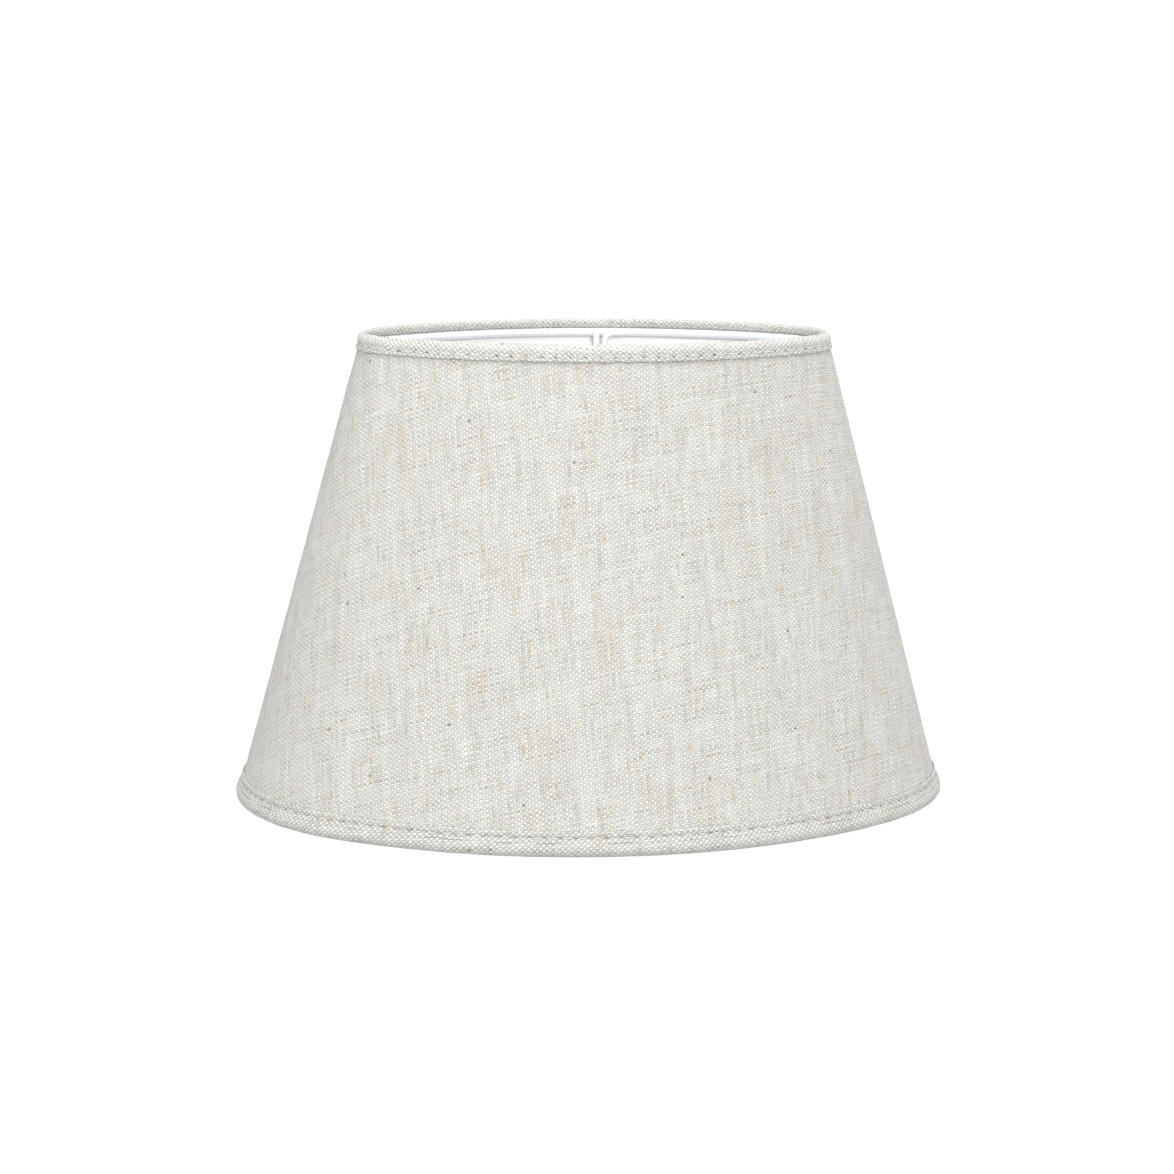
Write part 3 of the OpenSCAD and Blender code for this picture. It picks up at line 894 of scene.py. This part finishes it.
def stitchTree():
    tree = bpy.data.node_groups.new("stitchRow", "GeometryNodeTree")
    face = tree.interface
    face.new_socket("Groove", in_out="INPUT", socket_type="NodeSocketGeometry")
    sockets = {}
    for label, kind, value in (("Stitches", "NodeSocketInt", 100),
                               ("Stitch length", "NodeSocketFloat", stitching["length"]),
                               ("Thread", "NodeSocketFloat", stitching["thick"]),
                               ("Arch", "NodeSocketFloat", stitching["arch"]),
                               ("Waver", "NodeSocketFloat", stitching["waver"]),
                               ("Seed", "NodeSocketInt", stitching["seed"])):
        socket = face.new_socket(label, in_out="INPUT", socket_type=kind)
        socket.default_value = value
        sockets[label] = socket.identifier
    face.new_socket("Stitching", in_out="OUTPUT", socket_type="NodeSocketGeometry")

    def node(kind, **settings):
        made = tree.nodes.new(kind)
        for key, value in settings.items():
            setattr(made, key, value)
        return made

    def calc(operation, a, b):
        made = node("ShaderNodeMath", operation=operation)
        for socket, value in zip(made.inputs, (a, b)):
            if hasattr(value, "is_output"):
                tree.links.new(value, socket)
            else:
                socket.default_value = value
        return made.outputs[0]

    link = tree.links.new
    given = node("NodeGroupInput")
    result = node("NodeGroupOutput")
    toCurve = node("GeometryNodeMeshToCurve")
    upright = node("GeometryNodeSetCurveNormal", mode="Z_UP")
    spots = node("GeometryNodeCurveToPoints", mode="COUNT")
    link(given.outputs["Groove"], toCurve.inputs["Mesh"])
    link(toCurve.outputs["Curve"], upright.inputs["Curve"])
    link(upright.outputs["Curve"], spots.inputs["Curve"])
    link(given.outputs["Stitches"], spots.inputs["Count"])

    # one stitch: an arched length of thread whose ends go down into the holes
    halfStitch = calc("MULTIPLY", given.outputs["Stitch length"], 0.5)
    backHalf = calc("MULTIPLY", halfStitch, -1.0)
    dive = calc("MULTIPLY", given.outputs["Arch"], -1.3)
    crown = calc("MULTIPLY", given.outputs["Arch"], 1.6)
    ends = []
    for x, z in ((dive, backHalf), (crown, 0.0), (dive, halfStitch)):
        point = node("ShaderNodeCombineXYZ")
        for socket, value in ((point.inputs["X"], x), (point.inputs["Z"], z)):
            if hasattr(value, "is_output"):
                link(value, socket)
            else:
                socket.default_value = value
        ends.append(point)
    arch = node("GeometryNodeCurveQuadraticBezier")
    arch.inputs["Resolution"].default_value = 8
    for socket, point in zip(("Start", "Middle", "End"), ends):
        link(point.outputs[0], arch.inputs[socket])
    ring = node("GeometryNodeCurvePrimitiveCircle")
    ring.inputs["Resolution"].default_value = 7
    link(calc("MULTIPLY", given.outputs["Thread"], 0.5), ring.inputs["Radius"])
    sweep = node("GeometryNodeCurveToMesh")
    sweep.inputs["Fill Caps"].default_value = True
    link(arch.outputs["Curve"], sweep.inputs["Curve"])
    link(ring.outputs["Curve"], sweep.inputs["Profile Curve"])

    # every stitch is a little askew and a little longer or shorter
    tilt = node("FunctionNodeRandomValue", data_type="FLOAT_VECTOR")
    bound = node("ShaderNodeCombineXYZ")
    lower = node("ShaderNodeCombineXYZ")
    link(given.outputs["Waver"], bound.inputs["X"])
    link(calc("MULTIPLY", given.outputs["Waver"], 0.3), bound.inputs["Y"])
    link(calc("MULTIPLY", given.outputs["Waver"], -1.0), lower.inputs["X"])
    link(calc("MULTIPLY", given.outputs["Waver"], -0.3), lower.inputs["Y"])
    link(lower.outputs[0], tilt.inputs[0])
    link(bound.outputs[0], tilt.inputs[1])
    link(given.outputs["Seed"], tilt.inputs["Seed"])
    turned = node("FunctionNodeRotateRotation", rotation_space="LOCAL")
    link(spots.outputs["Rotation"], turned.inputs["Rotation"])
    link(tilt.outputs[0], turned.inputs["Rotate By"])
    size = node("FunctionNodeRandomValue", data_type="FLOAT")
    size.inputs[2].default_value = 0.88
    size.inputs[3].default_value = 1.06
    link(calc("ADD", given.outputs["Seed"], 3), size.inputs["Seed"])
    place = node("GeometryNodeInstanceOnPoints")
    link(spots.outputs["Points"], place.inputs["Points"])
    link(sweep.outputs["Mesh"], place.inputs["Instance"])
    link(turned.outputs["Rotation"], place.inputs["Rotation"])
    link(size.outputs[1], place.inputs["Scale"])
    real = node("GeometryNodeRealizeInstances")
    smooth = node("GeometryNodeSetShadeSmooth")
    paint = node("GeometryNodeSetMaterial")
    paint.inputs["Material"].default_value = sewingThread
    link(place.outputs["Instances"], real.inputs["Geometry"])
    link(real.outputs["Geometry"], smooth.inputs["Geometry"])
    link(smooth.outputs["Geometry"], paint.inputs["Geometry"])
    link(paint.outputs["Geometry"], result.inputs["Stitching"])
    return tree, sockets


stitchRow, stitchSockets = stitchTree()


def sewRow(name, trim, out):
    level = skinOffset(trim["threadZ"])
    columns = trim["stitches"] * trimFold["columnsPerStitch"]
    lengths = perimeterAt(level) * np.arange(columns) / columns
    turns = turnsAlong(cover["seamTurn"], lengths, level)
    x, y = ovalPoints(turns, level + out)
    points = np.stack([x, y, np.full(columns, trim["threadZ"])], axis=1)
    groove = bpy.data.meshes.new(name + "Groove")
    groove.from_pydata(points.tolist(), [(i, (i + 1) % columns) for i in range(columns)], [])
    guide = bpy.data.objects.new(name + "Guide", groove)
    bpy.context.scene.collection.objects.link(guide)
    modifier = guide.modifiers.new("stitchRow", "NODES")
    modifier.node_group = stitchRow
    modifier[stitchSockets["Stitches"]] = trim["stitches"]
    modifier[stitchSockets["Seed"]] = trim["seed"]
    bpy.context.view_layer.update()
    evaluated = guide.evaluated_get(bpy.context.evaluated_depsgraph_get())
    mesh = bpy.data.meshes.new_from_object(evaluated)
    mesh.name = name
    bpy.data.objects.remove(guide)
    return makeObject(name, faceOutwards(mesh), sewingThread)


topStitches = sewRow("topStitches", topTrim, 0.5 * mm)
bottomStitches = sewRow("bottomStitches", bottomTrim, 0.5 * mm)
print("stitches sewn:", topTrim["stitches"], bottomTrim["stitches"])

# the wire frame: ring, fitter and the two hairpin arms

ringLow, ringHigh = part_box("top_ring")
topWire = {
    "radius": (ringHigh.z - ringLow.z) / 2,
    "height": (ringLow.z + ringHigh.z) / 2,
    "segments": 260,
    "sides": 20,
    "weldAt": 8,                        # the segment that has the butt weld
    "weldSize": (1.3 * mm, 1.62 * mm, 1.62 * mm),
}
ringOffset = ringHigh.x - topWire["radius"] - halfLength


def buildTopRing():
    lengths = perimeterAt(ringOffset) * np.arange(topWire["segments"]) / topWire["segments"]
    x, y = ovalPoints(turnsAlong(-math.pi, lengths, ringOffset), ringOffset)
    path = np.stack([x, y, np.full(len(x), topWire["height"])], axis=1)
    # the butt weld that closes the ring, ground almost flush
    body = tubeMesh(path, topWire["radius"], topWire["sides"], closed=True)
    at = topWire["weldAt"]
    weld = weldBead(path[at], path[at + 1] - path[at - 1], topWire["weldSize"], 31)
    mesh = joinParts("topRingWire", [body, weld])
    return makeObject("topRingWire", faceOutwards(mesh), whiteCoat)


def weldBead(centre, ahead, size, seed, rings=9, sides=14):
    # a lumpy drop of weld under the coat, long axis along ahead
    rng = np.random.default_rng(seed)
    ahead = np.array(ahead, float)
    ahead /= np.linalg.norm(ahead)
    side = np.cross(ahead, [0, 0, 1])
    if np.linalg.norm(side) < 0.3:
        side = np.cross(ahead, [0, 1, 0])
    side /= np.linalg.norm(side)
    up = np.cross(side, ahead)
    phases = rng.uniform(0, 6.28, 4)
    points = [np.array(centre) - ahead * size[0]]
    for i in range(1, rings):
        t = math.pi * i / rings
        for k in range(sides):
            a = math.tau * k / sides
            lump = 1 + 0.06 * math.sin(3 * a + phases[0] + 2 * t) + 0.05 * math.sin(5 * t + phases[1])
            points.append(np.array(centre) - ahead * size[0] * math.cos(t)
                          + (side * size[1] * math.cos(a) + up * size[2] * math.sin(a)) * math.sin(t) * lump)
    points.append(np.array(centre) + ahead * size[0])
    faces = []
    last = len(points) - 1
    for k in range(sides):
        k2 = (k + 1) % sides
        faces.append([0, 1 + k2, 1 + k])
        faces.append([last, last - sides + k, last - sides + k2])
    for i in range(rings - 2):
        for k in range(sides):
            k2 = (k + 1) % sides
            a = 1 + i * sides
            faces.append([a + k, a + k2, a + sides + k2, a + sides + k])
    flip = np.cross(side, up).dot(ahead) < 0
    return points, [f[::-1] for f in faces] if flip else faces


fitterLow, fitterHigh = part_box("fitter_ring")
fitter = {
    "bore": 21 * mm,
    "thick": 1.2 * mm,
    "segments": 160,
    "soft": 0.35 * mm,                  # rounding of the cut edges
    "draw": 0.9 * mm,                   # rounding where the collar is drawn down, on top and below
    "drawUnder": 0.5 * mm,
    "stepsPerCorner": 6,
}


def buildFitter():
    # pressed ring: a flat flange, a drawn collar and rolled-soft edges
    outer = fitterHigh.x
    top = fitterHigh.z
    low = fitterLow.z
    bore = fitter["bore"]
    t = fitter["thick"]
    soft = fitter["soft"]
    corners = [(bore, top, fitter["draw"]), (outer, top, soft), (outer, top - t, soft),
               (bore + t, top - t, fitter["drawUnder"]), (bore + t, low, soft), (bore, low, soft)]
    profile = []
    for i, (r, z, radius) in enumerate(corners):
        here = np.array([r, z])
        before = np.array(corners[i - 1][:2]) - here
        after = np.array(corners[(i + 1) % len(corners)][:2]) - here
        before /= np.linalg.norm(before)
        after /= np.linalg.norm(after)
        centre = here + (before + after) * radius
        start = -after
        end = -before
        for k in range(fitter["stepsPerCorner"]):
            a = k / (fitter["stepsPerCorner"] - 1) * math.pi / 2
            profile.append(centre + radius * (start * math.cos(a) + end * math.sin(a)))
    profile = np.array(profile)
    turns = math.tau * np.arange(fitter["segments"]) / fitter["segments"]
    x = profile[None, :, 0] * np.cos(turns)[:, None]
    y = profile[None, :, 0] * np.sin(turns)[:, None]
    z = np.repeat(profile[None, :, 1], len(turns), axis=0)
    points = np.stack([x, y, z], axis=-1).reshape(-1, 3)
    mesh = meshFromGrid("fitterPressing", points, gridFaces(len(turns), len(profile), True, True))
    return makeObject("fitterPressing", faceOutwards(mesh), whiteCoat)


arm = {
    "radius": 1.1 * mm,
    "gap": 3 * mm,                      # between the middles of the two legs
    "foot": 6 * mm,                     # the leg bent along the ring and welded to it
    "bend": 3 * mm,
    "turn": math.radians(-4),
    "clear": 0.02 * mm,
    "stepsPerBend": 9,
    "runStep": 2.5 * mm,
}


def bentPath(corners, radii):
    # straight runs joined by round bends
    pts = [np.array(corners[0], float)]
    for i in range(1, len(corners) - 1):
        here = np.array(corners[i], float)
        u = np.array(corners[i - 1]) - here
        v = np.array(corners[i + 1]) - here
        u /= np.linalg.norm(u)
        v /= np.linalg.norm(v)
        half = math.acos(np.clip(u.dot(v), -1, 1)) / 2
        radius = radii[i - 1]
        bisector = (u + v) / np.linalg.norm(u + v)
        centre = here + bisector * radius / math.sin(half)
        start = here + u * radius / math.tan(half) - centre
        end = here + v * radius / math.tan(half) - centre
        sweep = math.pi - 2 * half
        for k in range(arm["stepsPerBend"]):
            a = k / (arm["stepsPerBend"] - 1)
            arc = start * math.sin((1 - a) * sweep) + end * math.sin(a * sweep)
            pts.append(centre + arc / math.sin(sweep))
    pts.append(np.array(corners[-1], float))
    dense = [pts[0]]
    for a, b in zip(pts[:-1], pts[1:]):
        steps = max(1, int(np.linalg.norm(b - a) / arm["runStep"]))
        dense += [a + (b - a) * k / steps for k in range(1, steps + 1)]
    return np.array(dense)


armLow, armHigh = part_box("back_arm")


def buildArm(name, flip):
    radius = arm["radius"]
    ringZ = topWire["height"]
    outY = sideRadius + ringOffset - topWire["radius"] - radius - arm["clear"]
    inY = sideCentre + fitter["bore"] + 3 * mm
    lowZ = armLow.z + radius
    x = arm["gap"] / 2
    corners = [(x + arm["foot"], outY, ringZ), (x, outY, ringZ), (x, outY, lowZ), (x, inY, lowZ),
               (-x, inY, lowZ), (-x, outY, lowZ), (-x, outY, ringZ)]
    tight = x - arm["clear"]
    path = bentPath(corners, [arm["bend"], arm["bend"], tight, tight, arm["bend"]])
    parts = [tubeMesh(path, radius)]
    # welds: the foot along the ring, the cut leg on the ring, and both legs under the flange
    parts.append(weldBead((x + arm["foot"] * 0.62, outY + radius, ringZ + 0.5 * mm), (1, 0, 0),
                          (2.6 * mm, 0.95 * mm, 0.8 * mm), 41))
    parts.append(weldBead((-x, outY + radius, ringZ - 0.2 * mm), (1, 0, 0),
                          (1.3 * mm, 0.95 * mm, 1.0 * mm), 42))
    flange = fitterHigh.x + sideCentre
    for side, seed in ((x, 43), (-x, 44)):
        parts.append(weldBead((side, flange - 0.6 * mm, lowZ + 0.85 * mm), (0, 1, 0),
                              (1.7 * mm, 1.25 * mm, 0.75 * mm), seed))
    turned = []
    c, s = math.cos(arm["turn"]), math.sin(arm["turn"])
    way = -1 if flip else 1
    for points, faces in parts:
        p = np.array(points, float)
        px = c * p[:, 0] - s * p[:, 1]
        py = s * p[:, 0] + c * p[:, 1] - sideCentre
        turned.append((np.stack([way * px, way * py, p[:, 2]], axis=1), faces))
    mesh = joinParts(name, turned)
    return makeObject(name, faceOutwards(mesh), whiteCoat)


topRingWire = buildTopRing()
fitterPressing = buildFitter()
backArmWire = buildArm("backArmWire", False)
frontArmWire = buildArm("frontArmWire", True)
print("wire frame made")

# what each piece stands for

pieces = ((coverCloth, "cover", "cover_linen"), (linerSheet, "liner", "liner_film"),
          (topTrimCloth, "top_trim", "trim_linen"), (bottomTrimCloth, "bottom_trim", "trim_linen"),
          (topStitches, "top_stitching", "thread"), (bottomStitches, "bottom_stitching", "thread"),
          (topRingWire, "top_ring", "white_wire"), (fitterPressing, "fitter_ring", "white_wire"),
          (backArmWire, "back_arm", "white_wire"), (frontArmWire, "front_arm", "white_wire"))
for piece, node, finish in pieces:
    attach(piece, "root")
    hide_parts(node)

for node, material in (("bottom_ring", whiteCoat), ("seam_tape", lapTape)):
    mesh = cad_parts[node].data
    if not mesh.materials:
        mesh.materials.append(material)
    for i in range(len(mesh.materials)):
        mesh.materials[i] = material

# studio

studio = {
    "floorSize": 6.0,
    "backdropRadius": 5.0,
    "backdropColumns": 48,
    "backdropGlow": 1.05,
    "worldStrength": 0.63,
    "lampDistance": 1.7,
    "aimHeight": 0.08,
    # name, turn round from the front, rise above the floor, power and size of each softbox
    "softboxes": [("frontSoftbox", 1, 12, 20.5, 0.7), ("leftSoftbox", -71, 20, 9.8, 0.6),
                  ("rightSoftbox", 77, 20, 5.2, 0.6), ("topSoftbox", 0, 80, 22.0, 0.8)],
}


def buildFloor():
    h = studio["floorSize"]
    mesh = bpy.data.meshes.new("studioFloor")
    mesh.from_pydata([(-h, -h, 0), (h, -h, 0), (h, h, 0), (-h, h, 0)], [], [(0, 1, 2, 3)])
    floor = makeObject("studioFloor", mesh, floorMaterial("studioFloor"), smooth=False)
    floor.visible_diffuse = False       # it is seen, but throws no light up at the shade


def buildBackdrop():
    # a plain white drum round the floor; it is only looked at, and gives no light
    b = NodeBench("studioBackdrop")
    b.shader.inputs["Base Color"].default_value = (0, 0, 0, 1)
    b.shader.inputs["Specular IOR Level"].default_value = 0.0
    b.shader.inputs["Emission Color"].default_value = (1, 1, 1, 1)
    b.shader.inputs["Emission Strength"].default_value = studio["backdropGlow"]
    r = studio["backdropRadius"]
    columns = studio["backdropColumns"]
    turns = math.tau * np.arange(columns) / columns
    heights = [(r, -0.5), (r, 0.4 * r), (0.8 * r, 0.8 * r), (0.4 * r, 0.98 * r), (0.02, r)]
    points = np.stack([np.stack([k * np.cos(turns), k * np.sin(turns), np.full(columns, z)], axis=1)
                       for k, z in heights], axis=1).reshape(-1, 3)
    mesh = meshFromGrid("studioBackdrop", points, gridFaces(columns, len(heights), True, False))
    drum = makeObject("studioBackdrop", mesh, b.material)
    drum.visible_diffuse = False
    drum.visible_glossy = False
    drum.visible_transmission = False
    drum.visible_shadow = False


def addLight(name, turn, rise, power, size):
    lamp = bpy.data.lights.new(name, "AREA")
    lamp.shape = "DISK"
    lamp.size = size
    lamp.energy = power
    holder = bpy.data.objects.new(name, lamp)
    aim = Vector((0, 0, studio["aimHeight"]))
    way = Vector((math.sin(turn) * math.cos(rise), -math.cos(turn) * math.cos(rise), math.sin(rise)))
    holder.location = aim + way * studio["lampDistance"]
    holder.rotation_euler = (-way).to_track_quat("-Z", "Y").to_euler()
    bpy.context.scene.collection.objects.link(holder)


buildFloor()
buildBackdrop()
for name, turn, rise, power, size in studio["softboxes"]:
    addLight(name, math.radians(turn), math.radians(rise), power, size)
world = bpy.data.worlds.new("studioWorld")
world.use_nodes = True
background = world.node_tree.nodes["Background"]
background.inputs["Color"].default_value = (0.97, 0.985, 1.0, 1.0)
background.inputs["Strength"].default_value = studio["worldStrength"]
bpy.context.scene.world = world

view = {
    "around": 0.1506,       # the camera stands this far round from the front, in radians
    "distance": 0.9639,
    "height": 0.2617,
    "aside": -0.0022,
    "down": 0.1942,
    "roll": 0.0104,
    "lens": 86.0,
}


def addCamera():
    data = bpy.data.cameras.new("studioCamera")
    data.sensor_width = 36
    data.lens = view["lens"]
    data.clip_start = 0.05
    data.clip_end = 50
    camera = bpy.data.objects.new("studioCamera", data)
    p, r = view["down"], view["roll"]
    forward = Vector((0, math.cos(p), -math.sin(p)))
    upward = Vector((0, math.sin(p), math.cos(p)))
    right = Vector((1, 0, 0))
    right, upward = (right * math.cos(r) + upward * math.sin(r), upward * math.cos(r) - right * math.sin(r))
    turn = Matrix.Rotation(-view["around"], 4, "Z")
    stand = Matrix((right, upward, -forward)).transposed().to_4x4()
    stand.translation = Vector((view["aside"], -view["distance"], view["height"]))
    camera.matrix_world = turn @ stand
    bpy.context.scene.collection.objects.link(camera)
    bpy.context.scene.camera = camera


addCamera()
bpy.context.scene.view_settings.view_transform = "Standard"
print("studio set")

bpy.context.view_layer.update()
